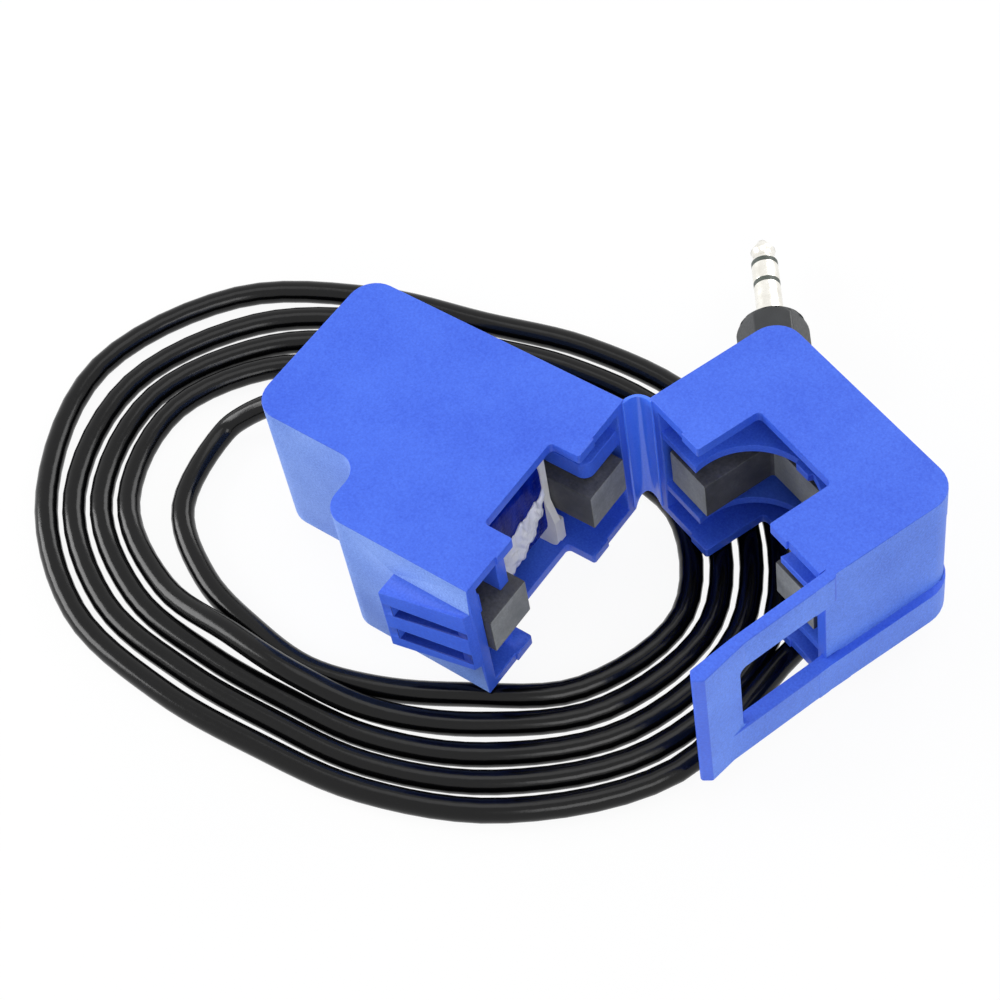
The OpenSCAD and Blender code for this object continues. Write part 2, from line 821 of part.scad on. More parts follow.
cable_route = concat(
    [for (p = start_part) p + [0, 0, floor_z]],
    [for (k = [0 : len(turns) - 1], i = [0 : len(turns[k]) - 1])
        let (a = 180 + turn_step * i)
        [coil_x + turns[k][i] * cos(a), coil_y + turns[k][i] * sin(a),
         floor_z + turn_z(k, i)]],
    [for (p = end_part) p + [0, 0, floor_z]],
    [plug_rear - plug_way * 0.6, plug_rear]);

module cable() {
    color(black)
        tube(cable_route, cable_d, 8);
}

// ---- plug -----------------------------------------------------------------

// along the plug: z runs from the handle's front face to the tip
module in_plug() {
    translate(plug_at)
        rotate([0, 90 + plug_dip, plug_turn])
            children();
}

sleeve_len = 6.25;
spacer_len = 0.7;
ring_len = 2.7;
ring_at = sleeve_len + spacer_len;
tip_at = ring_at + ring_len + spacer_len;
pin_r = pin_d / 2;

module plug_relief() {
    color(black)
        in_plug()
            translate([0, 0, -handle_len - relief_len])
                rotate_extrude()
                    polygon([[0, 0], [2.1, 0], [2.4, 0.4],
                             [2.8, relief_len], [0, relief_len]]);
}

// six-sided handle with a domed front and a tapered rear
module plug_handle() {
    handle_r = handle_d / 2;
    color(black)
        in_plug()
            intersection() {
                rotate_extrude()
                    polygon([[0, 0], [handle_r - 1.3, 0],
                             [handle_r - 0.7, -0.2], [handle_r - 0.3, -0.6],
                             [handle_r, -1.4], [handle_r, -handle_len + 2.5],
                             [handle_r - 1.2, -handle_len],
                             [0, -handle_len]]);
                rotate([0, 0, 30])
                    translate([0, 0, -handle_len - 1])
                        cylinder(r = handle_r, h = handle_len + 2, $fn = 6);
            }
}

module plug_sleeve() {
    color(metal)
        in_plug()
            rotate_extrude()
                polygon([[0, 0], [pin_r, 0], [pin_r, sleeve_len],
                         [0, sleeve_len]]);
}

module plug_spacer(z) {
    color(black)
        in_plug()
            translate([0, 0, z])
                cylinder(r = pin_r, h = spacer_len);
}

module plug_spacer_rear() {
    plug_spacer(sleeve_len);
}

module plug_spacer_front() {
    plug_spacer(ring_at + ring_len);
}

module plug_ring() {
    color(metal)
        in_plug()
            translate([0, 0, ring_at])
                cylinder(r = pin_r, h = ring_len);
}

module plug_tip() {
    front = pin_len - tip_at;
    color(metal)
        in_plug()
            translate([0, 0, tip_at])
                rotate_extrude()
                    polygon([[0, 0], [pin_r, 0], [pin_r - 0.45, front * 0.3],
                             [pin_r - 0.1, front * 0.55], [0.6, front],
                             [0, front]]);
}

// ---- nodes ----------------------------------------------------------------

body_shell();
body_core();
bobbin();
winding();
winding_tape();
glue_bead();
coil_leads();
lead_joints();
suppressor_diode();
inner_lead();
lead_anchor();
hinge_loop();
lid_shell();
lid_core();
core_spring();
hinge_flap();
latch_strap();
cable();
plug_relief();
plug_handle();
plug_sleeve();
plug_ring();
plug_tip();
plug_spacer_rear();
plug_spacer_front();
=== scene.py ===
"""Split-core current transformer: looks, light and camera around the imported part."""
import json
import math

import bmesh
import bpy
from mathutils import Matrix, Vector
from mathutils.bvhtree import BVHTree


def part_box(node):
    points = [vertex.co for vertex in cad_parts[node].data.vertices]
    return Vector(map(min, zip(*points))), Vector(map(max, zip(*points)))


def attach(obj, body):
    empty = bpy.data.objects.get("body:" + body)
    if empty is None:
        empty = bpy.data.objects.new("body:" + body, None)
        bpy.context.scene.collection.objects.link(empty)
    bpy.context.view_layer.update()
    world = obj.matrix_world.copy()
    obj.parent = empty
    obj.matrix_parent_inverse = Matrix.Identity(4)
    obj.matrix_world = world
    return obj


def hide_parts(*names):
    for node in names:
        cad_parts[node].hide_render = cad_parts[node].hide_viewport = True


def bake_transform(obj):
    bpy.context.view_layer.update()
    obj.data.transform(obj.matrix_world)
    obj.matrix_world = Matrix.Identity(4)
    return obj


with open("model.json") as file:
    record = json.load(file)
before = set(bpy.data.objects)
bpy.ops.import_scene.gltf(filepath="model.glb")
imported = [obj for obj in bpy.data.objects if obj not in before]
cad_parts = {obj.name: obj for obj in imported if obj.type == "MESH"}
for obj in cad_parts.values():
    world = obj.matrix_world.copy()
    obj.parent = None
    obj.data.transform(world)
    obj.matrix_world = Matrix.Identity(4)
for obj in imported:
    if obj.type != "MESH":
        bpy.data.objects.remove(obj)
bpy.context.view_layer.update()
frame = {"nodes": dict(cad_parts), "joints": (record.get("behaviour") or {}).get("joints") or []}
nodes = frame["nodes"]
MM = 0.001


def mm(*values):
    return Vector(values) * MM


# ---- the frame's own measures, in mm ------------------------------------------

case_low, case_high = (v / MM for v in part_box("body_shell"))
CASE_Z0, CASE_Z1 = case_low.z, case_high.z
CASE_H = CASE_Z1 - CASE_Z0
HALF_W = case_high.y
MATING_X = case_high.x
lid_joint = next(j for j in frame["joints"] if j["name"] == "lid_hinge")
hinge = Vector(lid_joint["pos_m"]) / MM
OPEN = math.radians(70)  # how far the lid stands open at rest
FLOOR_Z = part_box("cable")[0].z / MM


def lid_rest(x, y, z=0.0):
    """Where a point of the closed lid stands at rest; x is from the mating edge."""
    p = Vector((x + MATING_X, y, z)) - Vector((hinge.x, hinge.y, 0))
    p.rotate(Matrix.Rotation(OPEN, 3, "Z"))
    return p + Vector((hinge.x, hinge.y, 0))


# ---- camera -------------------------------------------------------------------

CAMERA_AT = (105.49, -114.98, 230.23)  # mm
CAMERA_RIGHT = Vector((0.80530, 0.58094, -0.11835))
CAMERA_AHEAD = Vector((-0.41963, 0.41750, -0.80598))
LENS = 86.28  # mm, on a sensor 36 mm wide

cam_data = bpy.data.cameras.new("camera")
cam = bpy.data.objects.new("camera", cam_data)
bpy.context.scene.collection.objects.link(cam)
down = CAMERA_AHEAD.cross(CAMERA_RIGHT)
cam.matrix_world = Matrix.Translation(mm(*CAMERA_AT)) @ Matrix(
    (CAMERA_RIGHT, -down, -CAMERA_AHEAD)).transposed().to_4x4()
cam_data.sensor_width = 36
cam_data.lens = LENS
cam_data.shift_x = 0.0050
cam_data.shift_y = -0.0167
cam_data.clip_start = 0.01
cam_data.clip_end = 20
bpy.context.scene.camera = cam

# ---- the lead: the route of its solid, in mm, with heights above the surface ---

LEAD_D = 3.0
LOW = LEAD_D / 2  # height of the centre line where the lead lies on the surface
COIL = (-27, -1)  # middle of the coil
STEP = 24  # degrees from one point of a turn to the next
# one row per turn: how far each of its points lies from the middle
TURNS = [
    [29, 28.8, 25, 22.3, 22.2, 22.8, 25.6, 33, 37.6, 34.3, 25, 18.2, 18.2, 23.5, 32],
    [37.4, 36.2, 30.2, 25.2, 24.6, 26.2, 30, 37, 41.2, 38.4, 31.8, 27.5, 26.5, 30,
     36.2],
    [41.2, 39.9, 34, 28.5, 27, 29.6, 34.4, 41.1, 44.8, 42.3, 36.8, 32, 30.2, 34.2,
     40.7],
    [45.3, 43.6, 37.9, 32, 30.3, 33.1, 38.3, 45, 48.4, 45.8, 41, 36, 34, 38.4, 46.5],
    [51, 47.4, 41.8, 35.8, 33.8, 36.6, 42.2, 48.8, 51.8]]
CLIMB = [0, 0, 0.4, 2.2, 2.4, 0.6]  # where the second turn climbs over the first
TOUCH_DOWN = 0.5  # height that is left where the first turn begins
# from the hole in the far wall down to the coil
START = [(-40.5, 6.5, 8.8), (-45.5, 6.5, 8.2), (-50, 5, 6), (-54.2, 1.8, 3.6)]
# from the coil to the plug, behind the lid
END = [(25.8, 17.5, LOW), (26.8, 24.5, LOW), (25.6, 30, LOW), (22.8, 33, LOW),
       (19.3, 34.9, LOW + 0.1), (15.8, 35.8, LOW + 0.4), (12.4, 36.15, LOW + 1),
       (9.6, 36.25, LOW + 1.7), (8, 36.32, LOW + 2.1), (6.6, 36.64, LOW + 2.4),
       (5.3, 37.25, 4.1)]
HANDLE_R = 4.75  # to the corners of the six-sided handle
HANDLE_BACK = 12  # from the front of the handle to the rear end of its relief
STRAIGHT = 0.6  # the lead enters the relief in line with it
PLUG_TURN = math.radians(127.3)
LINE_STEPS = 6  # parts of the curve between two points of the route
plug_way = Vector((math.cos(PLUG_TURN), math.sin(PLUG_TURN), 0))
plug_at = Vector((-3.52, 48.35, FLOOR_Z + HANDLE_R * math.cos(math.radians(30))))
plug_rear = plug_at - plug_way * HANDLE_BACK


def lead_route():
    points = [Vector((x, y, z + FLOOR_Z)) for x, y, z in START]
    for k, turn in enumerate(TURNS):
        for i, r in enumerate(turn):
            a = math.radians(180 + STEP * i)
            z = LOW
            if (k, i) == (0, 0):
                z += TOUCH_DOWN
            if k == 1 and i < len(CLIMB):
                z += CLIMB[i]
            points.append(Vector((COIL[0] + r * math.cos(a), COIL[1] + r * math.sin(a),
                                  FLOOR_Z + z)))
    points += [Vector((x, y, z + FLOOR_Z)) for x, y, z in END]
    return points + [plug_rear - plug_way * STRAIGHT, plug_rear]


def smooth_line(points, steps):
    """Points on a smooth line through the given ones."""
    line = []
    for i in range(len(points) - 1):
        p0 = points[max(i - 1, 0)]
        p1, p2 = points[i], points[i + 1]
        p3 = points[min(i + 2, len(points) - 1)]
        # knots by the square root of each distance, which never loops back
        t1 = max((p1 - p0).length ** 0.5, 1e-4)
        t2 = max((p2 - p1).length ** 0.5, 1e-4)
        t3 = max((p3 - p2).length ** 0.5, 1e-4)
        m1 = (p2 - p1) if i == 0 else (
            (p1 - p0) / t1 - (p2 - p0) / (t1 + t2) + (p2 - p1) / t2) * t2
        m2 = (p2 - p1) if i == len(points) - 2 else (
            (p2 - p1) / t2 - (p3 - p1) / (t2 + t3) + (p3 - p2) / t3) * t2
        for s in range(steps):
            t = s / steps
            line.append((2 * t**3 - 3 * t**2 + 1) * p1 + (t**3 - 2 * t**2 + t) * m1
                        + (3 * t**2 - 2 * t**3) * p2 + (t**3 - t**2) * m2)
    line.append(points[-1])
    rests = FLOOR_Z + LOW
    return [Vector((p.x, p.y, max(p.z, rests))) for p in line]


lead_line = smooth_line(lead_route(), LINE_STEPS)
lead_curve = bpy.data.curves.new("lead", "CURVE")
lead_curve.dimensions = "3D"
lead_curve.bevel_depth = LEAD_D / 2 * MM
lead_curve.bevel_resolution = 8
lead_curve.use_fill_caps = True
spline = lead_curve.splines.new("POLY")
spline.points.add(len(lead_line) - 1)
for point, p in zip(spline.points, lead_line):
    point.co = (p.x * MM, p.y * MM, p.z * MM, 1)
spline.use_smooth = True
lead = bpy.data.objects.new("lead", lead_curve)
bpy.context.scene.collection.objects.link(lead)

# ---- materials ----------------------------------------------------------------


class Nodes:
    """A small helper that builds one procedural material."""

    def __init__(self, name):
        self.material = bpy.data.materials.new(name)
        self.material.use_nodes = True
        self.tree = self.material.node_tree
        self.shader = self.tree.nodes["Principled BSDF"]
        self.where = self.add("ShaderNodeTexCoord").outputs["Object"]

    def add(self, kind, links=(), **values):
        node = self.tree.nodes.new(kind)
        for key, value in values.items():
            setattr(node, key, value)
        for socket, source in dict(links).items():
            if isinstance(source, bpy.types.NodeSocket):
                self.tree.links.new(source, node.inputs[socket])
            else:
                node.inputs[socket].default_value = source
        return node

    def join(self, source, socket):
        self.tree.links.new(source, self.shader.inputs[socket])

    def set(self, **values):
        for key, value in values.items():
            self.shader.inputs[key.replace("_", " ")].default_value = value

    def noise(self, scale, detail=3.0, rough=0.55, stretch=None):
        where = self.where
        if stretch:
            where = self.add("ShaderNodeMapping", {"Vector": where,
                                                   "Scale": stretch}).outputs[0]
        return self.add("ShaderNodeTexNoise", {
            "Vector": where, "Scale": scale, "Detail": detail,
            "Roughness": rough}).outputs["Fac"]

    def spread(self, source, low, high, out_low, out_high):
        return self.add("ShaderNodeMapRange", {
            "Value": source, "From Min": low, "From Max": high,
            "To Min": out_low, "To Max": out_high}).outputs[0]

    def ramp(self, source, *stops):
        node = self.add("ShaderNodeValToRGB", {"Fac": source})
        ramp = node.color_ramp
        while len(ramp.elements) < len(stops):
            ramp.elements.new(0.5)
        for element, (place, colour) in zip(ramp.elements, stops):
            element.position = place
            element.color = (*linear(colour), 1)
        return node.outputs[0]

    def bump(self, source, distance, strength=1.0, under=None):
        links = {"Height": source, "Distance": distance, "Strength": strength}
        if under is not None:
            links["Normal"] = under
        return self.add("ShaderNodeBump", links).outputs[0]


def linear(colour):
    """A screen colour of 0 to 255 as the linear light that shaders use."""
    return tuple((c / 255 / 12.92) if c <= 10 else ((c / 255 + 0.055) / 1.055) ** 2.4
                 for c in colour)


def blue_plastic(name="case_blue", low=(44, 86, 214), high=(68, 112, 234),
                 rough=(0.40, 0.56), grain_and_glints=0.6):
    """Moulded plastic: fine grain, faint clouding and a few light flecks, which are painted
    sparkle glints.
    """
    m = Nodes(name)
    cloud = m.noise(90, 3, 0.55)
    grain = m.noise(3600, 3, 0.6)
    uneven = m.add("ShaderNodeMix", {0: 0.62, 2: cloud, 3: grain}).outputs[0]
    colour = m.ramp(uneven, (0.34, low), (0.66, high))
    # Painted glints: sparse light dots of (150, 186, 250) stand for the sparkle that the
    # textured surface throws back; they grow with the grain.
    glint_cells = m.add("ShaderNodeTexVoronoi", {"Vector": m.where, "Scale": 2300,
                                            "Randomness": 1.0})
    glint_share = m.spread(glint_cells.outputs["Distance"], 0.03, 0.22, 0.16 * grain_and_glints, 0.0)
    mixed = m.add("ShaderNodeMix", {0: glint_share, 6: colour,
                                    7: (*linear((150, 186, 250)), 1)},
                  data_type="RGBA").outputs[2]
    m.join(mixed, "Base Color")
    m.join(m.spread(grain, 0.3, 0.7, *rough), "Roughness")
    m.join(m.bump(grain, 0.00004, grain_and_glints, m.bump(cloud, 0.0001, 0.1)), "Normal")
    m.set(IOR=1.5)
    return m.material


def ferrite(name="ferrite", low=(46, 47, 50), high=(86, 87, 90)):
    """Sintered core: mottled grey with fine grinding marks."""
    m = Nodes(name)
    grain = m.noise(2600, 5, 0.7)
    wide = m.noise(260, 3, 0.5)
    both = m.add("ShaderNodeMath", {0: grain, 1: wide}, operation="MULTIPLY").outputs[0]
    m.join(m.ramp(both, (0.12, low), (0.42, high)), "Base Color")
    m.join(m.spread(grain, 0.3, 0.7, 0.5, 0.72), "Roughness")
    grind = m.noise(900, 3, 0.6, stretch=(1, 1, 9))
    m.join(m.bump(grain, 0.00004, 0.6, m.bump(grind, 0.00003, 0.5)), "Normal")
    return m.material


def nylon():
    m = Nodes("bobbin_nylon")
    cloud = m.noise(300, 4, 0.6)
    grain = m.noise(3000, 3, 0.6)
    m.join(m.ramp(cloud, (0.3, (232, 231, 226)), (0.7, (246, 245, 240))), "Base Color")
    m.join(m.spread(grain, 0.3, 0.7, 0.45, 0.62), "Roughness")
    m.join(m.bump(grain, 0.00003, 0.5), "Normal")
    m.set(Subsurface_Weight=0.2, Subsurface_Radius=(0.002, 0.002, 0.0018))
    return m.material


def copper():
    """Enamelled wire, wound turn beside turn."""
    m = Nodes("copper_wire")
    turns = m.add("ShaderNodeTexWave", {"Vector": m.where, "Scale": 1600,
                                        "Distortion": 0.6}, bands_direction="Y")
    m.join(m.ramp(turns.outputs["Fac"], (0.1, (120, 58, 26)), (0.9, (206, 122, 70))),
           "Base Color")
    m.join(m.bump(turns.outputs["Fac"], 0.0001, 0.9), "Normal")
    m.set(Metallic=0.9, Roughness=0.28)
    return m.material


def tape():
    """Thin glossy film with soft folds and the edges of its laps."""
    m = Nodes("blue_tape")
    folds = m.noise(330, 3, 0.5, stretch=(1, 2.4, 0.7))
    fine = m.noise(2200, 2, 0.5)
    laps = m.add("ShaderNodeTexWave", {"Vector": m.where, "Scale": 55,
                                       "Distortion": 2.2, "Detail": 1.5},
                 bands_direction="Z")
    m.join(m.ramp(folds, (0.3, (2, 19, 112)), (0.72, (8, 40, 156))), "Base Color")
    m.join(m.spread(fine, 0.3, 0.7, 0.2, 0.34), "Roughness")
    m.join(m.bump(folds, 0.0005, 0.6, m.bump(laps.outputs["Fac"], 0.0002, 0.35)),
           "Normal")
    m.set(IOR=1.08, Coat_Weight=0.05, Coat_Roughness=0.05)
    return m.material


def glue():
    m = Nodes("clear_glue")
    streaks = m.noise(420, 4, 0.6, stretch=(1, 1, 0.45))
    m.join(m.ramp(streaks, (0.3, (222, 226, 248)), (0.66, (252, 252, 255))),
           "Base Color")
    m.join(m.spread(streaks, 0.3, 0.7, 0.12, 0.32), "Roughness")
    m.join(m.bump(streaks, 0.0005, 0.6), "Normal")
    m.set(Subsurface_Weight=0.35, Subsurface_Radius=(0.001, 0.001, 0.0012))
    return m.material


def jacket():
    """Soft vinyl jacket: black gloss with a faint ripple and traces of dust."""
    m = Nodes("black_jacket")
    ripple = m.noise(150, 2, 0.5)
    fine = m.noise(1900, 4, 0.65)
    dust = m.spread(m.noise(700, 5, 0.75), 0.64, 0.74, 0.0, 1.0)
    mixed = m.add("ShaderNodeMix", {0: dust, 6: (*linear((4, 4, 5)), 1),
                                    7: (*linear((20, 20, 21)), 1)},
                  data_type="RGBA").outputs[2]
    m.join(mixed, "Base Color")
    m.join(m.spread(fine, 0.3, 0.7, 0.13, 0.22), "Roughness")
    m.join(m.bump(fine, 0.00002, 0.4, m.bump(ripple, 0.0003, 0.3)), "Normal")
    m.set(Specular_IOR_Level=0.27)
    return m.material


def black_plastic(name="black_plastic", low=(30, 32, 34), high=(44, 47, 49),
                  rough=(0.34, 0.5)):
    m = Nodes(name)
    cloud = m.noise(260, 4, 0.6)
    grain = m.noise(3600, 2, 0.5)
    m.join(m.ramp(cloud, (0.3, low), (0.7, high)), "Base Color")
    m.join(m.spread(grain, 0.3, 0.7, *rough), "Roughness")
    m.join(m.bump(grain, 0.00003, 0.45), "Normal")
    return m.material


def sleeve():
    m = Nodes("red_sleeve")
    cloud = m.noise(900, 4, 0.6)
    m.join(m.ramp(cloud, (0.3, (130, 20, 16)), (0.7, (170, 34, 26))), "Base Color")
    m.join(m.bump(cloud, 0.00005, 0.6), "Normal")
    m.set(Roughness=0.42)
    return m.material


def tie():
    m = Nodes("white_tie")
    cloud = m.noise(700, 4, 0.6)
    m.join(m.ramp(cloud, (0.3, (206, 206, 200)), (0.7, (226, 226, 220))), "Base Color")
    m.join(m.bump(cloud, 0.00004, 0.4), "Normal")
    m.set(Roughness=0.45)
    return m.material


def steel():
    m = Nodes("spring_steel")
    brushed = m.noise(1400, 4, 0.6, stretch=(1, 1, 12))
    m.join(m.ramp(brushed, (0.3, (150, 150, 150)), (0.7, (190, 190, 190))),
           "Base Color")
    m.join(m.spread(brushed, 0.3, 0.7, 0.24, 0.38), "Roughness")
    m.join(m.bump(brushed, 0.00002, 0.4), "Normal")
    m.set(Metallic=1.0)
    return m.material


def nickel():
    """Bright plating with fine turning marks and a few handling scuffs."""
    m = Nodes("nickel")
    fine = m.noise(2600, 4, 0.6)
    scuffs = m.noise(480, 5, 0.7)
    m.join(m.ramp(scuffs, (0.3, (232, 229, 220)), (0.7, (248, 246, 240))),
           "Base Color")
    m.join(m.spread(scuffs, 0.3, 0.7, 0.2, 0.32), "Roughness")
    m.join(m.bump(fine, 0.000003, 0.2), "Normal")
    m.set(Metallic=1.0)
    return m.material


looks = {
    "case_blue": blue_plastic(), "ferrite": ferrite(), "bobbin_nylon": nylon(),
    "copper_wire": copper(), "blue_tape": tape(), "clear_glue": glue(),
    "red_sleeve": sleeve(), "black_plastic": black_plastic(), "black_jacket": jacket(),
    "white_tie": tie(), "spring_steel": steel(), "nickel": nickel()}
# Hinge web: a brighter blue than the case, painted light that makes up for the shade in its
# fold; the low roughness is its gloss.
web_blue_painted_light = blue_plastic("case_blue_web_painted_light", (66, 118, 250), (78, 130, 255),
                        (0.14, 0.2), 0.02)
# Outer walls of case and lid: the paler colours are painted sheen, the light that the coarse
# walls throw back; the higher roughness is their finish.
case_matt_and_sheen = blue_plastic("case_blue_matt_and_sheen", (86, 122, 210), (140, 174, 246),
                         (0.5, 0.66), 1.6)
# Painted shade: a darker blue for the grooves of the wedge.
case_groove_shade = blue_plastic("case_blue_groove_shade", (14, 42, 138), (24, 58, 166))
lid_matt_and_sheen = blue_plastic("lid_blue_matt_and_sheen", (64, 106, 214), (104, 148, 250),
                        (0.46, 0.62), 1.3)
# Pole faces: a lighter grey, partly the ground finish and partly painted light.
ferrite_ground_and_lit = ferrite("ferrite_ground_and_lit", (114, 117, 118), (154, 157, 157))
insulator = black_plastic("insulator", (58, 66, 60), (76, 84, 76), (0.4, 0.55))
slot_of = {
    "body_shell": "case_blue", "hinge_loop": "case_blue", "lid_shell": "case_blue",
    "hinge_flap": "case_blue", "latch_strap": "case_blue", "body_core": "ferrite",
    "lid_core": "ferrite", "bobbin": "bobbin_nylon", "winding": "copper_wire",
    "winding_tape": "blue_tape", "glue_bead": "clear_glue",
    "coil_leads": "copper_wire", "lead_joints": "red_sleeve",
    "suppressor_diode": "black_plastic", "inner_lead": "black_jacket",
    "lead_anchor": "white_tie", "core_spring": "spring_steel",
    "cable": "black_jacket", "plug_relief": "black_plastic",
    "plug_handle": "black_plastic", "plug_sleeve": "nickel", "plug_ring": "nickel",
    "plug_tip": "nickel", "plug_spacer_rear": "black_plastic",
    "plug_spacer_front": "black_plastic"}


def paint(obj, material):
    obj.data.materials.clear()
    obj.data.materials.append(material)


for node_name, obj in nodes.items():
    paint(obj, looks[slot_of[node_name]])
for node_name in ("plug_spacer_rear", "plug_spacer_front"):
    paint(nodes[node_name], insulator)

# ---- pieces -------------------------------------------------------------------


def piece(name, mesh, material, body=None, stands_for=()):
    obj = bpy.data.objects.new(name, mesh)
    bpy.context.scene.collection.objects.link(obj)
    paint(obj, material)
    if stands_for:
        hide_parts(*stands_for)
    if body:
        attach(obj, body)
    return obj


def finish_normals(obj, angle=32):
    for polygon in obj.data.polygons:
        polygon.use_smooth = True
    obj.data.set_sharp_from_angle(angle=math.radians(angle))
    even = obj.modifiers.new("even", "WEIGHTED_NORMAL")
    even.keep_sharp = True
    even.weight = 80


GROOVE = 2.4  # mm, more than a groove of the wedge is high
ACROSS = 30  # mm, a wall that faces another one nearer than this is an inner wall
SLIVER = 1.2  # mm2, faces smaller than this are too thin for the ray test


def grooved(tree, polygon):
    """True on the floor or a long wall of a groove in the wedge."""
    start = polygon.center + polygon.normal * 0.02 * MM
    if abs(polygon.normal.z) > 0.7:
        return tree.ray_cast(start, polygon.normal, GROOVE * MM)[0] is not None
    if polygon.normal.y > -0.5:
        return False
    return all(tree.ray_cast(start, Vector((0, 0, side)), GROOVE * MM)[0] is not None
               for side in (1, -1))


def matt_and_sheen_outside(mesh, mating):
    """The outer walls are coarser than the rest and painted paler, a painted sheen; rims, decks
    and the wedge are not. Groove faces of the wedge take a darker blue, a painted shade.
    """
    of_case = mating.x > 0.99
    # slot 1 is the coarser finish with painted sheen; slot 2, below, is painted shade for the
    # grooves
    mesh.materials.append(case_matt_and_sheen if of_case else lid_matt_and_sheen)
    mesh.materials.append(case_groove_shade)
    tree = BVHTree.FromPolygons([v.co for v in mesh.vertices],
                                [p.vertices for p in mesh.polygons])
    slivers = []
    wedge = [v.co for v in mesh.vertices
             if of_case and v.co.y < -(HALF_W + 0.04) * MM]
    wedge_x = min((v.x for v in wedge), default=1)
    wedge_low = min((v.z for v in wedge), default=1)
    wedge_high = max((v.z for v in wedge), default=1)
    for polygon in mesh.polygons:
        way, middle = polygon.normal, polygon.center
        in_wedge = (middle.x > wedge_x
                    and middle.y < -(HALF_W - 1.5) * MM
                    and wedge_low < middle.z < wedge_high)
        if in_wedge and grooved(tree, polygon):
            # a groove face takes the darker blue: painted shade
            polygon.material_index = 2
            continue
        if abs(way.z) > 0.3 or way.dot(mating) > 0.25:
            continue
        if polygon.area < SLIVER * MM * MM:
            slivers.append(polygon)
            continue
        if middle.x > wedge_x and wedge_low < middle.z < wedge_high and way.y < -0.5:
            continue
        start = middle + way * 0.05 * MM
        if tree.ray_cast(start, way, ACROSS * MM)[0] is None:
            # an outer wall: coarser finish and painted sheen
            polygon.material_index = 1
    # a sliver takes the coarser finish and painted sheen of a level neighbour, found in a few
    # passes
    beside = {}
    for polygon in mesh.polygons:
        for edge in polygon.edge_keys:
            beside.setdefault(edge, []).append(polygon)
    for _ in range(4):
        for polygon in slivers:
            if any(other.material_index == 1
                   and other.normal.dot(polygon.normal) > 0.995
                   for edge in polygon.edge_keys for other in beside[edge]):
                polygon.material_index = 1


def lit_and_ground_ends(mesh, mating):
    """The pole faces of a core are ground and painted lighter grey: partly their ground finish,
    partly painted light where they face the lamps.
    """
    mesh.materials.append(ferrite_ground_and_lit)
    for polygon in mesh.polygons:
        if polygon.normal.dot(mating) > 0.9:
            polygon.material_index = 1


to_case = (lid_rest(-1, 0) - lid_rest(0, 0)).normalized()
# which way the mating edge of each body faces at rest
MATING = {"case": Vector((1, 0, 0)), "lid": to_case, "strap": to_case}


def eased(node, name, body, width, segments=2, angle=35, mend=None, faces=None):
    """A copy of a CAD node with its outer edges eased, which stands for the node."""
    bm = bmesh.new()
    bm.from_mesh(nodes[node].data)
    bmesh.ops.remove_doubles(bm, verts=bm.verts, dist=1e-6)
    if mend:
        mend(bm)
    bmesh.ops.dissolve_limit(bm, angle_limit=math.radians(0.6), verts=bm.verts,
                             edges=bm.edges, use_dissolve_boundaries=False)
    bmesh.ops.recalc_face_normals(bm, faces=bm.faces)
    edges = [e for e in bm.edges if len(e.link_faces) == 2
             and e.calc_face_angle_signed(0) > math.radians(angle)]
    bmesh.ops.bevel(bm, geom=edges, offset=width * MM, offset_type="OFFSET",
                    segments=segments, profile=0.5, affect="EDGES",
                    clamp_overlap=False, miter_outer="SHARP", harden_normals=False)
    bmesh.ops.triangulate(bm, faces=[f for f in bm.faces if len(f.verts) > 4])
    mesh = bpy.data.meshes.new(name)
    bm.to_mesh(mesh)
    bm.free()
    slot = slot_of[node]
    obj = piece(name, mesh, looks[slot], body, [node])
    if faces:
        faces(mesh, MATING[body])
    finish_normals(obj)
    return obj


body = eased("body_shell", "body_moulding", "case", 0.14, faces=matt_and_sheen_outside)
# the wedge's faces meet the wall in crisp lines
crisp = bmesh.new()
crisp.from_mesh(body.data)
for edge in crisp.edges:
    on_wall = all(abs(v.co.y / MM + HALF_W) < 0.02 for v in edge.verts)
    if on_wall and edge.calc_face_angle(0) > math.radians(1):
        edge.smooth = False
crisp.to_mesh(body.data)
crisp.free()
eased("lid_shell", "lid_moulding", "lid", 0.09, faces=matt_and_sheen_outside)

# the strap as it lies on the closed lid, in mm: x from the mating edge, y from the
# middle, and heights from the foot of the case
ROOT = (1.2, -15.875)  # the strap leans about this point
LEAN = math.radians(2)
STRAP_OUT = -16.6  # outer face of the strap
FOOT_OUT = -17.0  # outer face of its thicker foot
FOOT_TOP = 5.4
BAND_LOW = 17.1  # lower edge of the band above the hole
SKIN_IN = -15.0  # inner face of the skins, inside the lid's wall
SKIN_STEPS = 8


def strap_closed(co):
    """Where a point of the strap at rest lies on the closed lid, before its lean."""
    p = Vector((co.x / MM - hinge.x, co.y / MM - hinge.y, 0))
    p.rotate(Matrix.Rotation(-OPEN, 3, "Z"))
    p += Vector((hinge.x - MATING_X - ROOT[0], hinge.y - ROOT[1], 0))
    p.rotate(Matrix.Rotation(-LEAN, 3, "Z"))
    return p.x + ROOT[0], p.y + ROOT[1]


def strap_rest(x, y, z=0.0):
    """The way back from strap_closed."""
    p = Vector((x - ROOT[0], y - ROOT[1], 0))
    p.rotate(Matrix.Rotation(LEAN, 3, "Z"))
    return lid_rest(p.x + ROOT[0], p.y + ROOT[1], z)


def run_foot_out(bm):
    """The foot of the strap runs out level with the flare of its lip."""
    for v in bm.verts:
        x, y = strap_closed(v.co)
        if v.co.z / MM > CASE_Z0 + FOOT_TOP + 0.05 or not -17.1 < y < -16.7:
            continue
        if -12.45 < x < -12.35:
            v.co = strap_rest(-13.5, FOOT_OUT, v.co.z / MM) * MM
        elif -13.4 < x < -12.45:
            v.co = strap_rest(-14.08, FOOT_OUT, v.co.z / MM) * MM


eased("latch_strap", "strap_moulding", "strap", 0.16, mend=run_foot_out,
      faces=matt_and_sheen_outside)


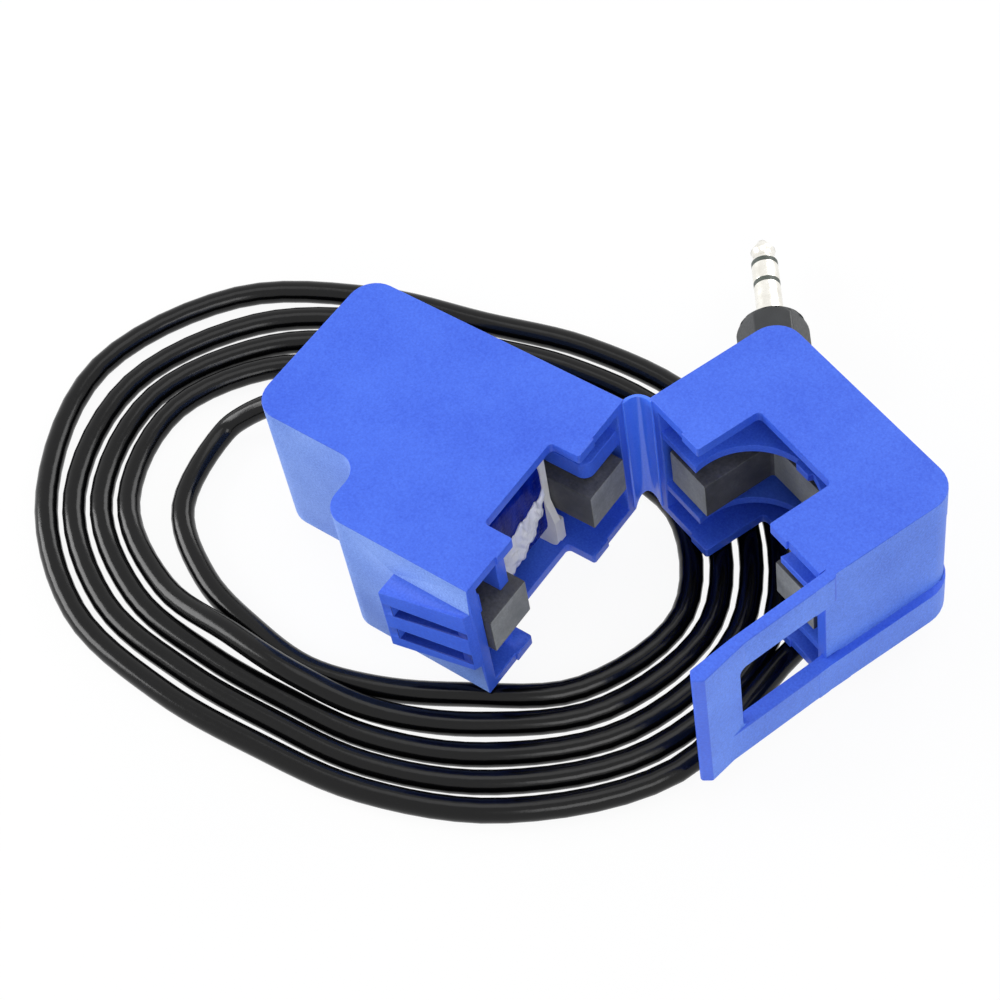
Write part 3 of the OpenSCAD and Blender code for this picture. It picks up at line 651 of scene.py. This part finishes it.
def root_skin(name, z0, z1, out_lid, out_strap):
    """Lid and strap are one moulding: the skin carries the wall over the root."""
    plan = [("lid", 3.2, SKIN_IN), ("lid", 3.2, out_lid), ("lid", 2.2, out_lid)]
    for i in range(1, SKIN_STEPS):
        t = i / SKIN_STEPS
        ease = t * t * (3 - 2 * t)
        plan.append(("mid", 2.2 - 2.2 * t, out_lid + (out_strap - out_lid) * ease))
    plan += [("strap", 0.0, out_strap), ("strap", -1.4, out_strap),
             ("strap", -1.4, -15.3), ("strap", 0.0, -15.22), ("lid", 1.15, -15.2),
             ("lid", 1.35, SKIN_IN)]
    bm = bmesh.new()
    rings = []
    for z in (z0 + CASE_Z0, z1 + CASE_Z0):
        ring = []
        for side, x, y in plan:
            p = strap_rest(x, y, z) if side == "strap" else lid_rest(x, y, z)
            ring.append(bm.verts.new(p * MM))
        rings.append(ring)
    low, high = rings
    for i in range(len(plan)):
        j = (i + 1) % len(plan)
        bm.faces.new((low[i], low[j], high[j], high[i]))
    bm.faces.new(low)
    bm.faces.new(high)
    bmesh.ops.recalc_face_normals(bm, faces=bm.faces)
    mesh = bpy.data.meshes.new(name)
    bm.to_mesh(mesh)
    bm.free()
    obj = piece(name, mesh, looks["case_blue"])
    matt_and_sheen_outside(mesh, MATING["lid"])
    finish_normals(obj)
    tuple(lid_rest(1.9, STRAP_OUT) * MM)
    tuple(lid_rest(0.3, STRAP_OUT) * MM)
    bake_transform(obj)


# the skins stand 0.02 mm proud of the walls that they cover
root_skin("strap_root_high", BAND_LOW + 0.02, CASE_H + 0.02, -16.22,
          STRAP_OUT - 0.02)
root_skin("strap_root_low", 0.02, FOOT_TOP + 0.02, FOOT_OUT - 0.02, FOOT_OUT - 0.02)

eased("body_core", "body_ferrite", "case", 0.16, faces=lit_and_ground_ends)
eased("lid_core", "lid_ferrite", "lid", 0.16, faces=lit_and_ground_ends)

for part in ("plug_handle", "plug_relief"):
    eased(part, part + "_moulding", "case", 0.25, angle=25)
for part in ("plug_sleeve", "plug_ring", "plug_tip"):
    eased(part, part + "_plated", "case", 0.05, angle=60)

# ---- hinge: one thin web, folded outwards, that joins the two mouldings ---------


WEB_STEPS = 20
WEB_BULGE = 0.95  # mm, how far the web bows outwards


def hinge_web():
    start = Vector((MATING_X - 0.25, HALF_W - 0.2, 0))
    end = lid_rest(0.45, HALF_W - 0.2)
    chord = end - start
    out = Vector((-chord.y, chord.x, 0)).normalized()
    line = [Vector((MATING_X - 0.9, HALF_W - 0.3, 0)),
            Vector((MATING_X - 0.5, HALF_W - 0.27, 0))]
    for i in range(WEB_STEPS + 1):
        t = i / WEB_STEPS
        bulge = WEB_BULGE * math.sin(math.pi * t) ** 0.8
        line.append(start + chord * t + out * bulge)
    line += [lid_rest(0.75, HALF_W - 0.27), lid_rest(1.15, HALF_W - 0.3)]
    bm = bmesh.new()
    rings = []
    for i, p in enumerate(line):
        way = (line[min(i + 1, len(line) - 1)] - line[max(i - 1, 0)]).normalized()
        side = Vector((-way.y, way.x, 0))
        t = (i - 2) / WEB_STEPS
        arch = math.sin(math.pi * min(max(t, 0), 1)) ** 0.6
        low = CASE_Z0 + 0.7 + 2.0 * arch
        high = CASE_Z1 - 0.25 - 0.15 * arch
        half = 0.27 - 0.07 * arch
        rings.append([bm.verts.new((p + side * s * half + Vector((0, 0, z))) * MM)
                      for s, z in ((1, low), (-1, low), (-1, high), (1, high))])
    for a, b in zip(rings, rings[1:]):
        for j in range(4):
            bm.faces.new((a[j], a[(j + 1) % 4], b[(j + 1) % 4], b[j]))
    bm.faces.new(rings[0])
    bm.faces.new(rings[-1])
    bmesh.ops.recalc_face_normals(bm, faces=bm.faces)
    edges = [e for e in bm.edges if e.calc_face_angle_signed(0) > math.radians(50)]
    bmesh.ops.bevel(bm, geom=edges, offset=0.07 * MM, segments=2, profile=0.5,
                    affect="EDGES", clamp_overlap=True)
    mesh = bpy.data.meshes.new("hinge_web")
    bm.to_mesh(mesh)
    bm.free()
    obj = piece("hinge_web", mesh, web_blue_painted_light,
                stands_for=["hinge_loop", "hinge_flap"])
    finish_normals(obj, 40)
    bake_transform(obj)


hinge_web()

# ---- glue: a run of hot glue slumped over the tape --------------------------------


# y and z along the middle of the run, with half its width there, in mm
GLUE_LINE = [(5.5, 1.2), (4.2, 0.2), (3.0, -0.8), (1.6, -1.7), (0.2, -2.4),
             (-1.2, -3.0), (-2.8, -3.5), (-4.2, -4.0), (-5.4, -4.4)]
GLUE_WIDTH = [0.8, 1.2, 1.9, 2.5, 2.9, 3.0, 2.9, 2.7, 2.5]
GLUE_LOW, GLUE_HIGH = (-5.5, -6.2), (5.5, 5.0)  # corners of its field
GLUE_CELLS = 96  # along each side of the field
GLUE_THICK = 0.62


def glue_inside(y, z):
    """How far a point lies inside the wavy outline of the glue; below 0 is outside."""
    best = -9.0
    for i in range(len(GLUE_LINE) - 1):
        (y0, z0), (y1, z1) = GLUE_LINE[i], GLUE_LINE[i + 1]
        dy, dz = y1 - y0, z1 - z0
        t = min(max(((y - y0) * dy + (z - z0) * dz) / (dy * dy + dz * dz), 0), 1)
        w = GLUE_WIDTH[i] + (GLUE_WIDTH[i + 1] - GLUE_WIDTH[i]) * t
        w += 0.28 * math.sin(2.1 * y + 0.9 * z) + 0.16 * math.sin(4.7 * y - 2.3 * z)
        best = max(best, w - math.hypot(y - y0 - dy * t, z - z0 - dz * t))
    return best


def glue_run():
    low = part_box("glue_bead")[0] / MM
    face = low.x + 0.02
    (lo_y, lo_z), (hi_y, hi_z) = GLUE_LOW, GLUE_HIGH
    bm = bmesh.new()
    grid = {}
    for j in range(GLUE_CELLS + 1):
        y = lo_y + (hi_y - lo_y) * j / GLUE_CELLS
        for k in range(GLUE_CELLS + 1):
            z = lo_z + (hi_z - lo_z) * k / GLUE_CELLS
            inside = glue_inside(y, z)
            if inside <= 0:
                continue
            ridge = 0.12 * math.sin(3.3 * (y + z) + 1.4 * math.sin(1.7 * y))
            thick = min(GLUE_THICK, 0.5 * math.sqrt(inside)) * (1 + ridge)
            grid[j, k] = bm.verts.new(mm(face + thick, y, z))
    for j in range(GLUE_CELLS):
        for k in range(GLUE_CELLS):
            corners = [(j, k), (j + 1, k), (j + 1, k + 1), (j, k + 1)]
            if all(c in grid for c in corners):
                bm.faces.new([grid[c] for c in corners])
    loose = [v for v in bm.verts if not v.link_faces]
    bmesh.ops.delete(bm, geom=loose, context="VERTS")
    rim = [e for e in bm.edges if e.is_boundary]
    skirt = bmesh.ops.extrude_edge_only(bm, edges=rim)["geom"]
    foot = [v for v in skirt if isinstance(v, bmesh.types.BMVert)]
    for v in foot:
        v.co.x = (face - 0.02) * MM
    for _ in range(6):
        bmesh.ops.smooth_vert(bm, verts=bm.verts, factor=0.5, use_axis_y=True,
                              use_axis_z=True)
    bmesh.ops.holes_fill(bm, edges=[e for e in bm.edges if e.is_boundary], sides=0)
    bmesh.ops.recalc_face_normals(bm, faces=bm.faces)
    mesh = bpy.data.meshes.new("glue_run")
    bm.to_mesh(mesh)
    bm.free()
    piece("glue_run", mesh, looks["clear_glue"], "case", ["glue_bead"])
    for polygon in mesh.polygons:
        polygon.use_smooth = True


glue_run()

# ---- the lead's looks and facts ---------------------------------------------------

paint(lead, looks["black_jacket"])
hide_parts("cable")
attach(lead, "case")

# ---- floor, world and lamps ------------------------------------------------------


def seen_directly(tree):
    """1 for what is seen, also in a mirror or through clear glass, 0 for light."""
    path = tree.nodes.new("ShaderNodeLightPath")
    last = path.outputs["Is Camera Ray"]
    for name in ("Is Glossy Ray", "Is Transmission Ray"):
        either = tree.nodes.new("ShaderNodeMath")
        either.operation = "MAXIMUM"
        tree.links.new(last, either.inputs[0])
        tree.links.new(path.outputs[name], either.inputs[1])
        last = either.outputs[0]
    return last


FLOOR_HALF = 3000  # mm
FLOOR_GLOW = 0.93  # share of what is seen that glows white; the rest takes shadow
SKY_LIGHT = 0.43  # the sky lights the part with this, and is seen at 1

floor_mesh = bpy.data.meshes.new("floor")
floor_mesh.from_pydata([mm(x * FLOOR_HALF, y * FLOOR_HALF, FLOOR_Z) for x, y in
                        ((-1, -1), (1, -1), (1, 1), (-1, 1))],
                       [], [(0, 1, 2, 3)])
floor = bpy.data.objects.new("floor", floor_mesh)
bpy.context.scene.collection.objects.link(floor)
floor_look = bpy.data.materials.new("floor")
floor_look.use_nodes = True
tree = floor_look.node_tree
tree.nodes.remove(tree.nodes["Principled BSDF"])
matt = tree.nodes.new("ShaderNodeBsdfDiffuse")
matt.inputs["Color"].default_value = (0.94, 0.94, 0.945, 1)
glow = tree.nodes.new("ShaderNodeEmission")
glow.inputs["Strength"].default_value = 1.0
share = tree.nodes.new("ShaderNodeMath")
share.operation = "MULTIPLY"
tree.links.new(seen_directly(tree), share.inputs[0])
share.inputs[1].default_value = FLOOR_GLOW
both = tree.nodes.new("ShaderNodeMixShader")
tree.links.new(share.outputs[0], both.inputs["Fac"])
tree.links.new(matt.outputs[0], both.inputs[1])
tree.links.new(glow.outputs[0], both.inputs[2])
tree.links.new(both.outputs[0], tree.nodes["Material Output"].inputs["Surface"])
floor.data.materials.append(floor_look)

world = bpy.data.worlds.new("world")
bpy.context.scene.world = world
world.use_nodes = True
tree = world.node_tree
sky = tree.nodes["Background"]
sky.inputs["Color"].default_value = (1, 1, 1, 1)
level = tree.nodes.new("ShaderNodeMapRange")
tree.links.new(seen_directly(tree), level.inputs["Value"])
level.inputs["To Min"].default_value = SKY_LIGHT
tree.links.new(level.outputs[0], sky.inputs["Strength"])


def lamp(name, where, target, size, power):
    """A soft lamp turned to its target; places and sizes in mm, power in watts."""
    data = bpy.data.lights.new(name, "AREA")
    data.shape = "RECTANGLE"
    data.size, data.size_y = (s * MM for s in size)
    data.energy = power
    obj = bpy.data.objects.new(name, data)
    bpy.context.scene.collection.objects.link(obj)
    obj.location = mm(*where)
    way = mm(*target) - obj.location
    obj.rotation_euler = way.to_track_quat("-Z", "Y").to_euler()


lamp("overhead", (-60, 90, 620), (0, 0, 0), (460, 320), 0.62)
lamp("left", (-460, -230, 210), (-20, 0, 0), (380, 260), 2.2)
lamp("camera_side", (330, -260, 330), (0, 0, 0), (300, 220), 0.8)
lamp("behind", (60, 470, 230), (0, 0, 0), (380, 240), 1.1)

bpy.context.scene.view_settings.view_transform = "Standard"
